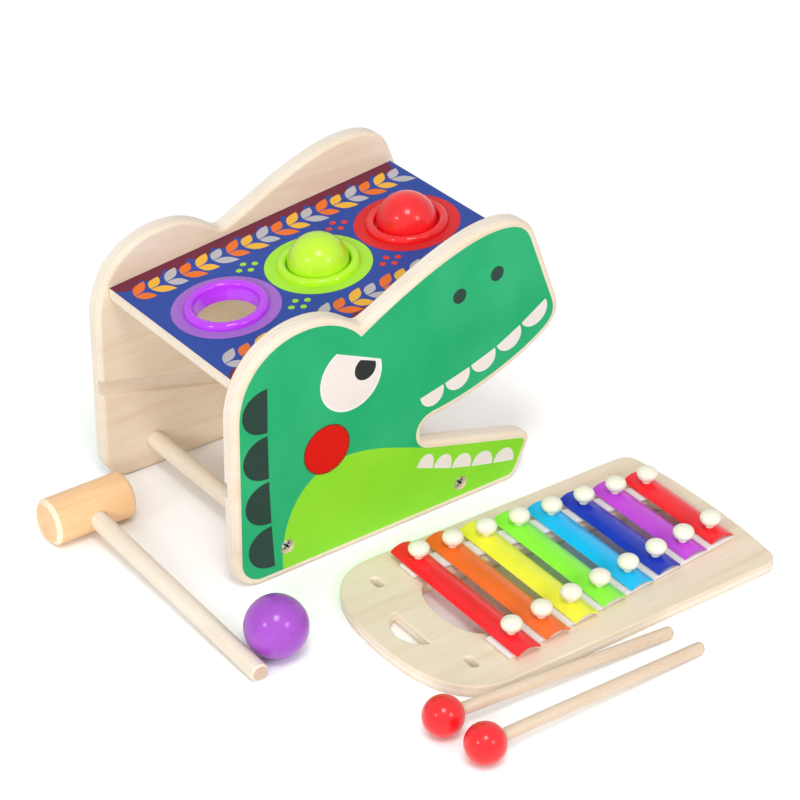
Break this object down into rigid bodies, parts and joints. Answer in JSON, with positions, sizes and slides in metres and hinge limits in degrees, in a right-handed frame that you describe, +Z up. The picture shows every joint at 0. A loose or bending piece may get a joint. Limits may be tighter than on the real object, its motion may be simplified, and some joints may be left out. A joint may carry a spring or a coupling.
{
  "type": "pounding bench with xylophone",
  "caption": "Wooden toy pounding bench with animal-head side panels, balls gripped in plastic rings, a hammer, and a slide-in xylophone of arched metal bars with mallets.",
  "frame": {"origin": "on the floor, under the middle of the space that the whole laid-out set takes up", "axes": "+X along the bench from the back of the head to the snout, +Y from the front panel to the rear panel, +Z up"},
  "size_m": [0.4176, 0.4486, 0.226],
  "materials": {
    "plywood": "pale plywood, clear satin lacquer, a printed picture on the outside of the panels",
    "printed_board": "plywood with a printed satin top face",
    "beech": "turned beech, clear satin lacquer",
    "dowel": "pale bare wood",
    "paint_purple": "turned wood, gloss paint",
    "paint_green": "turned wood, gloss paint",
    "paint_red": "turned wood, gloss paint",
    "plastic_purple": "moulded, slightly flexible",
    "plastic_green": "moulded, slightly flexible",
    "plastic_red": "moulded, slightly flexible",
    "screw_steel": "nickel-plated",
    "felt": "pressed white felt",
    "pin_plastic": "moulded, cream",
    "bar_red": "gloss enamel",
    "bar_orange": "gloss enamel",
    "bar_yellow": "gloss enamel",
    "bar_green": "gloss enamel",
    "bar_light_blue": "gloss enamel",
    "bar_dark_blue": "gloss enamel",
    "bar_purple": "gloss enamel"
  },
  "bodies": {
    "bench": {"side_panel_front": "plywood", "side_panel_rear": "plywood", "top_board": "printed_board", "ring_purple": "plastic_purple", "ring_green": "plastic_green", "ring_red": "plastic_red", "dowel_left": "dowel", "dowel_right": "dowel", "screw_front_left": "screw_steel", "screw_front_right": "screw_steel", "screw_rear_left": "screw_steel", "screw_rear_right": "screw_steel"},
    "green_ball": {"ball_green": "paint_green"},
    "red_ball": {"ball_red": "paint_red"},
    "purple_ball": {"ball_purple": "paint_purple"},
    "xylophone": {"xylophone_board": "plywood", "felt_strip_far": "felt", "felt_strip_near": "felt", "bar_1": "bar_red", "bar_2": "bar_orange", "bar_3": "bar_yellow", "bar_4": "bar_green", "bar_5": "bar_light_blue", "bar_6": "bar_dark_blue", "bar_7": "bar_purple", "bar_8": "bar_red", "pin_far_1": "pin_plastic", "pin_far_2": "pin_plastic", "pin_far_3": "pin_plastic", "pin_far_4": "pin_plastic", "pin_far_5": "pin_plastic", "pin_far_6": "pin_plastic", "pin_far_7": "pin_plastic", "pin_far_8": "pin_plastic", "pin_near_1": "pin_plastic", "pin_near_2": "pin_plastic", "pin_near_3": "pin_plastic", "pin_near_4": "pin_plastic", "pin_near_5": "pin_plastic", "pin_near_6": "pin_plastic", "pin_near_7": "pin_plastic", "pin_near_8": "pin_plastic"},
    "hammer": {"hammer_head": "beech", "hammer_handle": "dowel"},
    "mallet_1": {"mallet_head_1": "paint_red", "mallet_stick_1": "dowel"},
    "mallet_2": {"mallet_head_2": "paint_red", "mallet_stick_2": "dowel"}
  },
  "joints": [
    {"name": "green_ball_push", "type": "slide", "parent": "bench", "child": "green_ball", "axis": [-0.1142, 0, 0.9935], "range_m": [-0.155, 0.05], "deforming": ["ring_green"]},
    {"name": "red_ball_push", "type": "slide", "parent": "bench", "child": "red_ball", "axis": [-0.1142, 0, 0.9935], "range_m": [-0.165, 0.05], "deforming": ["ring_red"]},
    {"name": "purple_ball_lift", "type": "slide", "parent": "bench", "child": "purple_ball", "axis": [0, 0, 1], "range_m": [0, 0.2]},
    {"name": "xylophone_lift", "type": "slide", "parent": "bench", "child": "xylophone", "axis": [0, 0, 1], "range_m": [0, 0.2]},
    {"name": "hammer_lift", "type": "slide", "parent": "bench", "child": "hammer", "axis": [-0.6, 0, 0.8], "range_m": [0, 0.2]},
    {"name": "mallet_1_lift", "type": "slide", "parent": "bench", "child": "mallet_1", "axis": [0, 0, 1], "range_m": [0, 0.2]},
    {"name": "mallet_2_lift", "type": "slide", "parent": "bench", "child": "mallet_2", "axis": [0, 0, 1], "range_m": [0, 0.2]}
  ]
}
